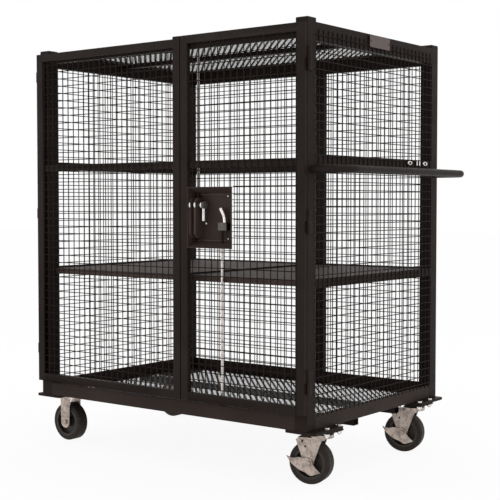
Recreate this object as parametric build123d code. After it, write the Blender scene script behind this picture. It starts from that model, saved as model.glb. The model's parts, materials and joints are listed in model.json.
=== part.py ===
from build123d import *
import math
import os

# Wire cage storage cart: a welded mesh cage with two front doors on a base frame,
# two rigid casters at the left end and two braked swivel casters under the push handle.
# Millimetres, +Z up, doors at -Y, push handle at +X, origin on the floor under the middle.

# Cage, over the posts
cage_w = 1300.0
cage_d = 914.0
post_size = 50.0
post_wall = 3.0
post_h = 1392.0
left_post_drop = 14.0
cap_t = 4.0
cap_edge = 2.0

# Base frame
base_h = 52.0
base_wall = 6.0
base_ledge = 30.0
stringer_w = 32.0
stringer_h = 23.0
stringer_wall = 2.5
stringer_spread = 290.0

# Decks of expanded metal
deck_t = 4.0
deck_edge = 7.0
deck_margin = 25.0
diamond_l = 172.0
diamond_w = 80.0
strand_w = 11.0

# Cage rails: the top ones below the posts' top, the others above the base's underside
rail_depth = 25.0
front_rail_depth = 16.0
front_rail_h = 42.0
rail_wall = 2.0
rail_h = 32.0
top_rail_h = 62.0
top_rail_drop = 10.0
upper_rail_low = 908.0
lower_rail_low = 485.0
roof_sink = 12.0
roof_rib_w = 30.0
roof_rib_h = 18.0
back_post_w = 40.0

# Welded mesh
wire = 3.2
pitch = 29.0
mesh_lap = 7.0
mesh_top_lap = 40.0

# Shelf
shelf_t = 3.0
shelf_lip = 22.0
shelf_front_gap = 29.5
shelf_top = 512.0
shelf_end_gap = 1.0
shelf_seam = 2.0
beam = 18.0
beam_wall = 2.0
fit_gap = 0.5

# Push handle
handle_out = 152.0
handle_r = 13.5
handle_z = 887.0
handle_bend = 62.0

# Doors
right_door_w = 545.0
door_split_gap = 4.0
door_gap = 2.0
door_depth = 18.0
door_wall = 2.0
stile_w = 32.0
door_rail_h = 30.0
door_low = 59.0
door_drop = 26.0
meeting_rise = 9.0
door_mid_low = 899.0
door_mid_h = 27.0
door_mesh_inset = 3.0

# Hinges
barrel_r = 6.5
pin_r = 4.0
knuckle_h = 40.0
knuckle_gap = 0.3
leaf_t = 3.0
leaf_reach = 28.0
hinge_air = 0.5
hinge_end = 110.0
hinge_count = 3
running = 0.05

# Lock pan, slide bolt, drop rod and top rod, all on the right door
pan_w = 206.0
pan_low = 613.0
pan_h = 219.0
pan_depth = 56.0
pan_slope = 24.0
pan_side = 50.0
pan_wall = 2.0
bolt_r = 6.0
bolt_air = 0.4
bolt_up = 154.0
bolt_travel = 14.0
bolt_stop = 1.0
bolt_tail = 70.0
bolt_knob_r = 13.0
bolt_knob_l = 16.0
bolt_handle_r = 6.5
bolt_handle_l = 57.0
bolt_handle_at = 58.0
guide_t = 9.0
guide_step = 24.0
guide_up = 36.0
guide_h = 144.0
guide_point = 14.0
guide_nose = 6.0
rod_r = 5.0
rod_air = 0.3
rod_from_right = 380.0
rod_behind = 18.0
rod_tip_air = 3.0
lever_r = 7.5
lever_in = 14.0
lever_lean = 3.0
lever_knee = 22.0
lever_tip = 19.0
lever_rise = 50.0
lever_bend = 30.0
top_rod_from_right = 493.0
top_rod_in = 97.0
top_rod_air = 1.0
collar_w = 38.0
collar_d = 20.0
collar_shift = 8.0
collar_up = 64.0
collar_h = 28.0
strap_w = 24.0
strap_h = 15.0
strap_lift = 5.0
keeper_w = 30.0
keeper_h = 30.0
keeper_d = 24.0
keeper_slot = 13.0

# Caster pads and plates
pad_x = 128.0
pad_y = 181.0
pad_t = 10.0
pad_over = 33.0
pad_corner = 10.0
caster_in_x = 26.0
caster_in_y = 130.0
plate_x = 115.0
plate_y = 101.0
plate_t = 6.0

# Casters
caster_h = 194.0
wheel_r = 76.0
wheel_w = 50.0
tyre_t = 18.0
tyre_shoulder = 5.0
rim_t = 8.0
web_t = 14.0
hub_r = 20.0
hub_side = 0.3
fork_side = 2.0
leg_t = 5.0
leg_tip_r = 18.0
axle_r = 6.0
axle_head_r = 10.0
axle_head_h = 6.0
rigid_leg_w = 54.0
rigid_tip_w = 48.0
bridge_t = 6.0
trail = 38.0
trail_dir = 193.0
race_r = 37.0
race_h = 10.0
race_gap = 0.3
crown_r = 42.0
crown_h = 12.0
kingpin_r = 7.0
kingpin_nut_r = 11.0
kingpin_nut_h = 6.0
kingpin_air = 0.3
leg_back = 86.0
leg_front = 13.0
leg_drop = 8.0
leg_hole_r = 3.5
leg_hole_x = 12.0
leg_hole_z = 59.0
notch_x = 23.0
notch_w = 14.0
notch_h = 22.0
pedal_t = 4.0
pedal_gap = 0.3
pedal_hub_r = 21.0
pedal_toe = 80.0
pedal_toe_rise = 27.0
pedal_heel = 36.0
pedal_heel_drop = 32.0
pedal_belly = 33.0
pedal_crest = 24.0

# Places worked out from the sizes above
base_z = caster_h + pad_t
door_reach = door_gap + door_depth
mesh_t = 2 * wire
left_reach = max(pad_over, wheel_r - caster_in_x)
cx = (left_reach - handle_out) / 2
cy = (door_reach - mesh_t) / 2
x_left = cx - cage_w / 2
x_right = cx + cage_w / 2
y_front = cy - cage_d / 2
y_back = cy + cage_d / 2
x_split = x_right - right_door_w
inner_left = x_left + post_size
inner_right = x_right - post_size
inner_front = y_front + post_size
inner_back = y_back - post_size
base_top = base_z + base_h
post_top = base_z + post_h
top_high = post_top - top_rail_drop
top_low = top_high - top_rail_h
roof_z = top_high - roof_sink
door_front = y_front - door_reach
door_back = y_front - door_gap
door_z0 = base_z + door_low
door_z1 = post_top - door_drop
hinge_y = y_front - door_gap / 2
hinge_out = barrel_r + hinge_air
stile_in = x_split + door_split_gap / 2 + stile_w
pan_x0 = stile_in
pan_x1 = pan_x0 + pan_w
pan_z0 = base_z + pan_low
pan_z1 = pan_z0 + pan_h
pan_back = door_front + pan_depth
bolt_y = door_back + bolt_r + bolt_air
bolt_z = pan_z0 + bolt_up
knob_x = pan_x0 + pan_wall + guide_step + guide_t + bolt_travel + bolt_stop
rod_x = x_right - rod_from_right
rod_y = y_front + rod_behind
top_rod_x = x_right - top_rod_from_right
top_rod_y = y_front + front_rail_depth + rod_r + top_rod_air
plate_low = base_z - pad_t - plate_t
fork_in = wheel_w / 2 + fork_side
fork_out = fork_in + leg_t
race_low = plate_low - race_h
crown_top = race_low - race_gap
crown_low = crown_top - crown_h
bridge_low = crown_low - bridge_t


def block(x0, x1, y0, y1, z0, z1):
    """Box between two corners."""
    return Pos((x0 + x1) / 2, (y0 + y1) / 2, (z0 + z1) / 2) * Box(x1 - x0, y1 - y0, z1 - z0)


def tube(x0, x1, y0, y1, z0, z1, wall, along):
    """Rectangular tube between two corners, open along one axis."""
    bore = [wall, wall, wall]
    bore["xyz".index(along)] = 0
    bx, by, bz = bore
    return block(x0, x1, y0, y1, z0, z1) - block(x0 + bx, x1 - bx, y0 + by, y1 - by, z0 + bz, z1 - bz)


def upright(x, y, r, z0, z1):
    """Vertical cylinder."""
    return Pos(x, y, (z0 + z1) / 2) * Cylinder(r, z1 - z0)


def along_x(x0, x1, y, z, r):
    """Cylinder lying along X."""
    return Pos((x0 + x1) / 2, y, z) * Rot(0, 90, 0) * Cylinder(r, x1 - x0)


def along_y(x, y0, y1, z, r):
    """Cylinder lying along Y."""
    return Pos(x, (y0 + y1) / 2, z) * Rot(90, 0, 0) * Cylinder(r, y1 - y0)


def plate_xz(sketch, y0, y1):
    """Sketch drawn in X and Z, made into a plate from y0 to y1."""
    return extrude(Plane((0, y0, 0), x_dir=(1, 0, 0), z_dir=(0, -1, 0)) * sketch, y1 - y0, dir=(0, 1, 0))


def plate_yz(sketch, x0, x1):
    """Sketch drawn in Y and Z, made into a plate from x0 to x1."""
    return extrude(Plane((x0, 0, 0), x_dir=(0, 1, 0), z_dir=(1, 0, 0)) * sketch, x1 - x0, dir=(1, 0, 0))


def save(name, shapes):
    """Write one sub-part, with each of its pieces as a separate solid."""
    solids = [solid for shape in shapes for solid in shape.solids()]
    export_step(Compound(solids), "parts/" + name + ".step")


def corners():
    """The four corners of the cage: left or right sign, front or back sign."""
    return [(sx, sy) for sx in (-1, 1) for sy in (-1, 1)]


def spaced(lo, hi):
    """Wire places between two edges, at the mesh pitch and centred."""
    count = int((hi - lo) / pitch)
    first = (lo + hi - (count - 1) * pitch) / 2
    return [first + i * pitch for i in range(count)]


def make_base():
    rails = []
    foot = base_z + base_wall
    for y, inward in ((y_front, 1), (y_back, -1)):
        web = sorted((y, y + inward * base_wall))
        ledge = sorted((y + inward * base_wall, y + inward * base_ledge))
        rails.append(block(inner_left, inner_right, *web, base_z, base_top))
        rails.append(block(inner_left, inner_right, *ledge, base_z, foot))
    for x, inward in ((x_left, 1), (x_right, -1)):
        web = sorted((x, x + inward * base_wall))
        ledge = sorted((x + inward * base_wall, x + inward * base_ledge))
        rails.append(block(*web, inner_front, inner_back, base_z, base_top))
        rails.append(block(*ledge, inner_front, inner_back, base_z, foot))
    save("base_rails", rails)
    stringers = []
    for side in (-1, 1):
        y = cy + side * stringer_spread / 2
        y_span = (y - stringer_w / 2, y + stringer_w / 2)
        stringers.append(tube(x_left, x_right, *y_span, base_z - stringer_h, base_z, stringer_wall, "x"))
    save("floor_stringers", stringers)


def deck(z0, edge):
    """Sheet of expanded metal, notched round the posts, with a plain border."""
    half_x = cage_w / 2 - edge
    half_y = cage_d / 2 - edge
    sheet = Rectangle(2 * half_x, 2 * half_y)
    notch = post_size - edge
    for sx, sy in corners():
        sheet -= Pos(sx * (half_x - notch / 2), sy * (half_y - notch / 2)) * Rectangle(notch, notch)
    hole_l = (diamond_l - 2 * strand_w) / 2
    hole_w = (diamond_w - strand_w) / 2
    hole = Polygon((hole_l, 0), (0, hole_w), (-hole_l, 0), (0, -hole_w))
    room_x = half_x - deck_margin - hole_l
    room_y = half_y - deck_margin - hole_w
    rows = int(room_y / (diamond_w / 2))
    holes = []
    for row in range(-rows, rows + 1):
        shift = diamond_l / 2 if row % 2 else 0.0
        cols = int((room_x - shift) / diamond_l)
        for i in range(-cols - (1 if shift else 0), cols + 1):
            x, y = shift + i * diamond_l, row * diamond_w / 2
            if abs(x) < room_x - notch or abs(y) < room_y - notch:
                holes.append(Pos(x, y) * hole)
    sheet -= holes
    return Pos(cx, cy, z0) * extrude(sheet, deck_t)


def make_posts():
    posts = []
    caps = []
    for sx, sy in corners():
        x0, x1 = sorted((cx + sx * cage_w / 2, cx + sx * (cage_w / 2 - post_size)))
        y0, y1 = sorted((cy + sy * cage_d / 2, cy + sy * (cage_d / 2 - post_size)))
        top = post_top if sx > 0 else post_top - left_post_drop
        posts.append(tube(x0, x1, y0, y1, base_z, top, post_wall, "z"))
        cap = block(x0, x1, y0, y1, top, top + cap_t)
        caps.append(chamfer(cap.faces().sort_by(Axis.Z)[-1].edges(), cap_edge))
    save("posts", posts)
    save("post_caps", caps)
    back_x = (x_split - back_post_w / 2, x_split + back_post_w / 2)
    save("back_post", [tube(*back_x, y_back - rail_depth, y_back, base_top, top_low, rail_wall, "z")])


def ring_of_rails(z0, z1, split_back):
    """Rails between the posts on both ends and the back."""
    rails = []
    for x0 in (x_left, x_right - rail_depth):
        rails.append(tube(x0, x0 + rail_depth, inner_front, inner_back, z0, z1, rail_wall, "y"))
    back = (y_back - rail_depth, y_back)
    if split_back:
        rails.append(tube(inner_left, x_split - back_post_w / 2, *back, z0, z1, rail_wall, "x"))
        rails.append(tube(x_split + back_post_w / 2, inner_right, *back, z0, z1, rail_wall, "x"))
    else:
        rails.append(tube(inner_left, inner_right, *back, z0, z1, rail_wall, "x"))
    return rails


def make_rails():
    front_y = (y_front, y_front + front_rail_depth)
    front = tube(inner_left, inner_right, *front_y, roof_z - front_rail_h, roof_z, rail_wall, "x")
    save("top_rails", ring_of_rails(top_low, top_high, False) + [front])
    upper = base_z + upper_rail_low
    lower = base_z + lower_rail_low
    save("upper_rails", ring_of_rails(upper, upper + rail_h, True))
    save("lower_rails", ring_of_rails(lower, lower + rail_h, True))
    rib_y = (cy - roof_rib_w / 2, cy + roof_rib_w / 2)
    rib_x = (x_left + rail_depth, x_right - rail_depth)
    save("roof_rib", [tube(*rib_x, *rib_y, roof_z - roof_rib_h, roof_z, rail_wall, "x")])


def make_end_mesh(name, x_face, out):
    """Mesh welded on the outside of one end: upright wires against the frame, level ones outside."""
    near = sorted((x_face, x_face + out * wire))
    far = sorted((x_face + out * wire, x_face + out * mesh_t))
    lo_y, hi_y = inner_front - mesh_lap, inner_back + mesh_lap
    lo_z, hi_z = base_top - mesh_lap, top_low + mesh_top_lap
    wires = [block(*near, y - wire / 2, y + wire / 2, lo_z, hi_z) for y in spaced(lo_y, hi_y)]
    wires += [block(*far, lo_y, hi_y, z - wire / 2, z + wire / 2) for z in spaced(lo_z, hi_z)]
    save(name, wires)


def make_back_mesh():
    near = (y_back, y_back + wire)
    far = (y_back + wire, y_back + mesh_t)
    lo_x, hi_x = inner_left - mesh_lap, inner_right + mesh_lap
    lo_z, hi_z = base_top - mesh_lap, top_low + mesh_top_lap
    wires = [block(x - wire / 2, x + wire / 2, *near, lo_z, hi_z) for x in spaced(lo_x, hi_x)]
    wires += [block(lo_x, hi_x, *far, z - wire / 2, z + wire / 2) for z in spaced(lo_z, hi_z)]
    save("back_mesh", wires)


def make_handle():
    """One bent tube with both ends welded to the right-hand posts."""
    y0 = y_front + post_size / 2
    y1 = y_back - post_size / 2
    x_bar = x_right + handle_out - handle_r
    z = base_z + handle_z
    corners_at = [(x_right, y0, z), (x_bar, y0, z), (x_bar, y1, z), (x_right, y1, z)]
    path = FilletPolyline(*corners_at, radius=handle_bend)
    start = Plane(path @ 0, z_dir=path % 0)
    save("push_handle", [sweep(start * Circle(handle_r), path)])


def make_shelf():
    top = base_z + shelf_top
    under = top - shelf_t
    y0 = y_front + shelf_front_gap
    y1 = y_back - rail_depth - shelf_end_gap
    beam_y = (y0 + shelf_t + fit_gap, y1 - shelf_t - fit_gap - beam)
    beams = [tube(inner_left, inner_right, y, y + beam, under - beam, under, beam_wall, "x") for y in beam_y]
    save("shelf_beams", beams)
    spans = {
        "shelf_left": (inner_left + shelf_end_gap, x_split - shelf_seam / 2),
        "shelf_right": (x_split + shelf_seam / 2, inner_right - shelf_end_gap),
    }
    for name, span in spans.items():
        sheet = block(*span, y0, y1, under, top)
        for y in (y0, y1 - shelf_t):
            sheet += block(*span, y, y + shelf_t, top - shelf_lip, under)
        save(name, [sheet])


def hinge_places():
    """Heights where the two knuckles of each hinge meet."""
    step = (door_z1 - door_z0 - 2 * hinge_end) / (hinge_count - 1)
    return [door_z0 + hinge_end + i * step for i in range(hinge_count)]


def knuckle(x_face, out, y0, y1, z0, z1, bore):
    """Hinge barrel with its weld leaf on an outside face."""
    x_pin = x_face + out * hinge_out
    leaf = block(*sorted((x_face, x_face + out * leaf_t)), y0, y1, z0, z1)
    barrel = upright(x_pin, hinge_y, barrel_r, z0, z1)
    return leaf + barrel - upright(x_pin, hinge_y, bore, z0, z1)


def make_hinges():
    post_side = []
    pins = []
    for x_face, out, node in ((x_left, -1, "left_door_hinges"), (x_right, 1, "right_door_hinges")):
        door_side = []
        for z in hinge_places():
            post_side.append(knuckle(x_face, out, hinge_y, y_front + leaf_reach, z - knuckle_h, z, pin_r))
            low = z + knuckle_gap
            door_side.append(knuckle(x_face, out, door_front, hinge_y, low, low + knuckle_h, pin_r + running))
            pins.append(upright(x_face + out * hinge_out, hinge_y, pin_r, z - knuckle_h, low + knuckle_h))
        save(node, door_side)
    save("post_hinges", post_side)
    save("hinge_pins", pins)


def door_frame(x0, x1, z1, stile_tops):
    """Two stiles and two rails of tube."""
    z_rail = door_z0 + door_rail_h
    span = (door_front, door_back)
    return [
        tube(x0, x0 + stile_w, *span, door_z0, stile_tops[0], door_wall, "z"),
        tube(x1 - stile_w, x1, *span, door_z0, stile_tops[1], door_wall, "z"),
        tube(x0 + stile_w, x1 - stile_w, *span, door_z0, z_rail, door_wall, "x"),
        tube(x0 + stile_w, x1 - stile_w, *span, z1 - door_rail_h, z1, door_wall, "x"),
    ]


def door_mesh(x0, x1, z0, z1, hole=None):
    """Mesh inside a door frame, upright wires in front; wires stop at the edges of a hole."""
    y_up = (door_front + door_mesh_inset, door_front + door_mesh_inset + wire)
    y_level = (y_up[1], y_up[1] + wire)
    wires = []
    for x in spaced(x0, x1):
        spans = [(z0, z1)]
        if hole and hole[0] - wire < x < hole[1] + wire:
            spans = [(z0, hole[2]), (hole[3], z1)]
        wires += [block(x - wire / 2, x + wire / 2, *y_up, lo, hi) for lo, hi in spans]
    for z in spaced(z0, z1):
        start = x0
        if hole and hole[2] - wire < z < hole[3] + wire:
            start = hole[1]
        wires.append(block(start, x1, *y_level, z - wire / 2, z + wire / 2))
    return wires


def make_doors():
    z_rail = door_z0 + door_rail_h
    mid = (base_z + door_mid_low, base_z + door_mid_low + door_mid_h)
    mid_y = (door_front + door_mesh_inset + mesh_t, door_back)
    left = (x_left, x_split - door_split_gap / 2)
    right = (x_split + door_split_gap / 2, x_right)
    tall = door_z1 + meeting_rise
    save("left_door_frame", door_frame(*left, door_z1, (door_z1, tall)))
    save("right_door_frame", door_frame(*right, tall, (tall, tall)))
    for name, span, top, hole in (
        ("left_door", left, door_z1, None),
        ("right_door", right, tall, (pan_x0, pan_x1, pan_z0, pan_z1)),
    ):
        inside = (span[0] + stile_w, span[1] - stile_w)
        save(name + "_mesh", door_mesh(*inside, z_rail, top - door_rail_h, hole))
        save(name + "_mid_rail", [block(*inside, *mid_y, *mid)])


def pan_form(x0, inset):
    """Lock pan's form: sloped at the top, the bottom and the right, narrower at the back."""
    front = door_front if inset == 0 else door_front - inset
    back = pan_back - inset
    proud = (door_front - front) / pan_depth
    rise = pan_slope * (back - front) / pan_depth
    lean = pan_side * (back - front) / pan_depth
    x1 = pan_x1 - inset * math.hypot(pan_side, pan_depth) / pan_depth + pan_side * proud
    low = pan_z0 + inset - pan_slope * proud
    high = pan_z1 - inset + pan_slope * proud
    outline = Polygon((front, low), (back, low + rise), (back, high - rise), (front, high), align=None)
    ends = Polygon((x0, front), (x1, front), (x1 - lean, back), (x0, back), align=None)
    return plate_yz(outline, x0, x1) & extrude(Plane((0, 0, low)) * ends, high - low, dir=(0, 0, 1))


def make_lock():
    bolt_way = along_x(pan_x0, pan_x0 + pan_wall, bolt_y, bolt_z, bolt_r + bolt_air)
    rod_way = upright(rod_x, rod_y, rod_r + rod_air, pan_z0, pan_z0 + pan_depth)
    pan = pan_form(pan_x0, 0) - pan_form(pan_x0 + pan_wall, pan_wall)
    top_way = upright(top_rod_x, top_rod_y, rod_r + rod_air, pan_z1 - pan_depth, pan_z1)
    save("lock_pan", [pan - bolt_way - rod_way - top_way])

    z0 = pan_z0 + guide_up
    z1 = z0 + guide_h
    nose, heel = door_front + guide_nose, pan_back - pan_wall
    outline = Polygon((nose, z0 + guide_point), (nose, z1 - guide_point), (nose + guide_point, z1),
                      (heel, z1), (heel, z0), (nose + guide_point, z0), align=None)
    guides = []
    for i in range(2):
        x0 = pan_x0 + pan_wall + i * guide_step
        bolt_hole = along_x(x0, x0 + guide_t, bolt_y, bolt_z, bolt_r + bolt_air)
        guides.append(plate_yz(outline, x0, x0 + guide_t) - bolt_hole)
    save("bolt_guides", guides)

    tip = pan_x0 - stile_w
    bolt = along_x(tip, tip + stile_w + bolt_tail, bolt_y, bolt_z, bolt_r)
    bolt += along_x(knob_x, knob_x + bolt_knob_l, bolt_y, bolt_z, bolt_knob_r)
    bolt += upright(pan_x0 + bolt_handle_at, bolt_y, bolt_handle_r, bolt_z - bolt_handle_l, bolt_z)
    save("slide_bolt", [bolt])

    straps = []
    for x, y, rail in ((rod_x, rod_y, door_z0), (top_rod_x, top_rod_y, base_z + door_mid_low)):
        strap_z = (rail + strap_lift, rail + strap_lift + strap_h)
        strap = block(x - strap_w / 2, x + strap_w / 2, door_back, y + strap_w / 2, *strap_z)
        straps.append(strap - upright(x, y, rod_r + rod_air, *strap_z))
    save("rod_guides", straps)
    save("top_rod", [upright(top_rod_x, top_rod_y, rod_r, pan_z1 - top_rod_in, top_low - rod_tip_air)])

    collar_z = (pan_z0 + collar_up, pan_z0 + collar_up + collar_h)
    collar_x = (rod_x + collar_shift - collar_w / 2, rod_x + collar_shift + collar_w / 2)
    collar = block(*collar_x, rod_y - collar_d / 2, rod_y + collar_d / 2, *collar_z)
    save("rod_collar", [collar - upright(rod_x, rod_y, rod_r, *collar_z)])

    root_x, root_z = rod_x + lever_in, collar_z[1]
    path = FilletPolyline((root_x, rod_y, root_z), (root_x - lever_lean, rod_y, root_z + lever_knee),
                          (root_x - lever_tip, rod_y, root_z + lever_rise), radius=lever_bend)
    lever = sweep(Plane(path @ 0, z_dir=path % 0) * Circle(lever_r), path)
    rod = upright(rod_x, rod_y, rod_r, base_top + rod_tip_air, collar_z[1])
    save("drop_rod", [rod, lever & block(pan_x0, pan_x1, door_front, pan_back, root_z, pan_z1)])

    inner_web = y_front + base_wall
    keeper_y = (inner_web, rod_y + keeper_slot / 2, inner_web + keeper_d)
    keeper_x = (rod_x - keeper_w / 2, rod_x - keeper_slot / 2, rod_x + keeper_slot / 2, rod_x + keeper_w / 2)
    keeper_z = (base_top - keeper_h, base_top)
    save("rod_keeper", [
        block(keeper_x[0], keeper_x[1], keeper_y[0], keeper_y[2], *keeper_z),
        block(keeper_x[2], keeper_x[3], keeper_y[0], keeper_y[2], *keeper_z),
        block(keeper_x[1], keeper_x[2], keeper_y[1], keeper_y[2], *keeper_z),
    ])


def caster_spots():
    """Caster centres: name, X, Y and whether the caster swivels."""
    spots = []
    for end, x in (("left", x_left + caster_in_x), ("right", x_right - caster_in_x)):
        for row, y in (("front", y_front + caster_in_y), ("rear", y_back - caster_in_y)):
            spots.append((row + "_" + end, x, y, end == "right"))
    return spots


def make_pads():
    pads = []
    plates = []
    kingpins = []
    pad_z = base_z - pad_t
    for name, x, y, swivels in caster_spots():
        out = 1 if swivels else -1
        end = x_right if swivels else x_left
        pad_cx = end + out * (pad_over - pad_x / 2)
        pad_cy = y_front + pad_y / 2 if name.startswith("front") else y_back - pad_y / 2
        pad = Pos(pad_cx, pad_cy, pad_z) * extrude(RectangleRounded(pad_x, pad_y, pad_corner), pad_t)
        plate = block(x - plate_x / 2, x + plate_x / 2, y - plate_y / 2, y + plate_y / 2, plate_low, pad_z)
        if swivels:
            race = upright(x, y, race_r, race_low, plate_low)
            plate += race - upright(x, y, kingpin_r + kingpin_air, race_low, plate_low)
            pin = upright(x, y, kingpin_r, bridge_low - kingpin_air, plate_low)
            nut_top = bridge_low - kingpin_air
            kingpins.append(pin + upright(x, y, kingpin_nut_r, nut_top - kingpin_nut_h, nut_top))
        pads.append(pad)
        plates.append(plate)
    save("caster_pads", pads)
    save("caster_plates", plates)
    save("kingpins", kingpins)


def wheel_parts():
    """Tyre and core of one wheel, centred on the axle, which lies along Y."""
    seat_r = wheel_r - tyre_t
    half = wheel_w / 2
    shoulder_r = wheel_r - tyre_shoulder
    tread = Polygon((seat_r, -half), (shoulder_r, -half), (wheel_r, tyre_shoulder - half),
                    (wheel_r, half - tyre_shoulder), (shoulder_r, half), (seat_r, half), align=None)
    tyre = revolve(tread, Axis.Y)
    hub = fork_in - hub_side
    bore = axle_r + running
    body = Polygon((bore, -hub), (hub_r, -hub), (hub_r, -web_t / 2), (seat_r - rim_t, -web_t / 2),
                   (seat_r - rim_t, -half), (seat_r, -half), (seat_r, half), (seat_r - rim_t, half),
                   (seat_r - rim_t, web_t / 2), (hub_r, web_t / 2), (hub_r, hub), (bore, hub), align=None)
    return tyre, revolve(body, Axis.Y)


def axle_bolt(brake):
    """Axle bolt with its head and nut, outside the pedal where there is one."""
    far = fork_out + (pedal_t + 2 * pedal_gap if brake else 0)
    bolt = along_y(0, -fork_out - axle_head_h, far + axle_head_h, 0, axle_r)
    bolt += along_y(0, -fork_out - axle_head_h, -fork_out, 0, axle_head_r)
    return bolt + along_y(0, far, far + axle_head_h, 0, axle_head_r)


def fork_legs(outline):
    """Two equal legs, bored for the axle bolt."""
    legs = [plate_xz(outline, fork_in, fork_out), plate_xz(outline, -fork_out, -fork_in)]
    bore = along_y(0, -fork_out, fork_out, 0, axle_r)
    return [leg - bore for leg in legs]


def rigid_fork():
    """Fixed fork about its axle: straight legs from a bridge under the plate."""
    top = plate_low - wheel_r
    half, tip = rigid_leg_w / 2, rigid_tip_w / 2
    outline = Polygon((-half, top), (half, top), (tip, 0), (-tip, 0), align=None)
    outline += Circle(tip)
    fork = block(-half, half, -fork_out, fork_out, top - bridge_t, top)
    for leg in fork_legs(outline):
        fork += leg
    return fork


def swivel_fork():
    """Swivel fork about its axle, with the kingpin ahead at X = -trail."""
    top = crown_low - wheel_r
    ahead, behind = -trail - leg_front, leg_back - trail
    outline = Polygon((ahead, top), (behind, top - leg_drop), (leg_tip_r, 0), (-leg_tip_r, 0), align=None)
    outline += Circle(leg_tip_r)
    outline -= Pos(leg_hole_x, leg_hole_z) * Circle(leg_hole_r)
    notch = (notch_x - notch_w / 2, notch_x + notch_w / 2)
    outline -= Polygon((notch[0], top), (notch_x, top - notch_h), (notch[1], top), align=None)
    pin = Pos(-trail, 0, 0)
    crown = pin * upright(0, 0, crown_r, top, top + crown_h)
    fork = crown + block(ahead, behind - leg_drop, -fork_out, fork_out, top - bridge_t, top)
    for leg in fork_legs(outline):
        fork += leg
    return fork - pin * upright(0, 0, kingpin_r + running, top - bridge_t, top + crown_h)


def brake_pedal():
    """Foot pedal on the axle bolt, outside one leg: a leaf between a pointed toe and a pointed heel."""
    y0 = fork_out + pedal_gap
    toe = Vector(pedal_toe, pedal_toe_rise)
    heel = Vector(-pedal_heel, -pedal_heel_drop)
    middle = (toe + heel) / 2
    down = (toe - heel).normalized().rotate(Axis.Z, -90)
    belly = ThreePointArc(heel, middle + down * pedal_belly, toe)
    crest = ThreePointArc(toe, middle - down * pedal_crest, heel)
    outline = make_face([belly.edge(), crest.edge()]) + Circle(pedal_hub_r)
    pedal = plate_xz(outline, y0, y0 + pedal_t)
    return pedal - along_y(0, y0, y0 + pedal_t, 0, axle_r + running)


def make_casters():
    rigid_forks = []
    rigid_axles = []
    tyre, core = wheel_parts()
    for name, x, y, swivels in caster_spots():
        if swivels:
            place = Pos(x, y, wheel_r) * Rot(0, 0, trail_dir) * Pos(trail, 0, 0)
            save(name + "_fork", [place * swivel_fork()])
            save(name + "_axle", [place * axle_bolt(True)])
            save(name + "_brake", [place * brake_pedal()])
        else:
            place = Pos(x, y, wheel_r)
            rigid_forks.append(place * rigid_fork())
            rigid_axles.append(place * axle_bolt(False))
        save(name + "_tyre", [place * tyre])
        save(name + "_core", [place * core])
    save("rigid_forks", rigid_forks)
    save("rigid_axles", rigid_axles)


os.makedirs("parts", exist_ok=True)
make_base()
save("floor_deck", [deck(base_z + base_wall, deck_edge)])
save("roof_deck", [deck(roof_z, rail_depth)])
make_posts()
make_rails()
make_end_mesh("left_mesh", x_left, -1)
make_end_mesh("right_mesh", x_right, 1)
make_back_mesh()
make_handle()
make_shelf()
make_hinges()
make_doors()
make_lock()
make_pads()
make_casters()
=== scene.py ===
import json
import math

import bmesh
import bpy
from bpy.props import FloatProperty, FloatVectorProperty, PointerProperty
from mathutils import Matrix, Vector


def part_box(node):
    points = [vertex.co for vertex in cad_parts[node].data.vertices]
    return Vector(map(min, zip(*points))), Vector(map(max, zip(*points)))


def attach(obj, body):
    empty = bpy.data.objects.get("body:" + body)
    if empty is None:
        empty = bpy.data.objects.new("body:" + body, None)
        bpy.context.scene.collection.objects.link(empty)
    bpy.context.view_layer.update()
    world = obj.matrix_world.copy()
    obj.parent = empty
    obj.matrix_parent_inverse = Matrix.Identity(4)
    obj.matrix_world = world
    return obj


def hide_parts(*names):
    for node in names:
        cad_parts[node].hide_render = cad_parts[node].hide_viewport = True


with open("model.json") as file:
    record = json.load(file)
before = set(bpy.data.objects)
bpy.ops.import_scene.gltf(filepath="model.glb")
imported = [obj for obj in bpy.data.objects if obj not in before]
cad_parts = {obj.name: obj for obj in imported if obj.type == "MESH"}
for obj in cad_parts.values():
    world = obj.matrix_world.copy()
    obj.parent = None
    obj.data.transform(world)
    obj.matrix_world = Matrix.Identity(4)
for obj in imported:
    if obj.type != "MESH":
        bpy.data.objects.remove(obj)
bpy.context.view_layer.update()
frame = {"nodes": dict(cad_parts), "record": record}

bl_info = {
    "name": "Wire Cage Storage Cart",
    "version": (1, 0, 0),
    "blender": (4, 5, 0),
    "location": "View3D > Sidebar > Cart",
    "description": "Dresses the packed cage cart: coats, plated metal, expanded metal, fasteners and stage",
    "category": "Object",
}

MM = 0.001

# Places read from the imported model, in metres
POSTS_LOW, POSTS_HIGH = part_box("posts")
PADS_LOW, PADS_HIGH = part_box("caster_pads")
PAN_LOW, PAN_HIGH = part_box("lock_pan")
TOP_RAILS_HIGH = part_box("top_rails")[1]
MID_RAILS_LOW, MID_RAILS_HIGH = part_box("upper_rails")
END_MESH_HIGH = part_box("right_mesh")[1]
COLLAR_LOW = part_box("rod_collar")[0]
GUIDES_LOW, GUIDES_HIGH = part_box("bolt_guides")
BOLT_LOW, BOLT_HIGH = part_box("slide_bolt")
AXLE_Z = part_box("front_right_tyre")[1].z / 2

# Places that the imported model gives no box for
PAN_WALL = 2.0 * MM
PAN_BACK = PAN_HIGH.y - PAN_WALL
KNOB_X = GUIDES_HIGH.x + 15.0 * MM
KNOB_RADIUS = 13.0 * MM
KNOB_Z = BOLT_HIGH.z - KNOB_RADIUS
SWIVEL_HEADING = math.radians(193.0)

# How far two points may lie apart and still be one, in general and between the strands of a deck
SAME_POINT = 0.002 * MM
SAME_STRAND = 0.05 * MM

# Half the floor's width
FLOOR_REACH = 30.0

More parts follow.
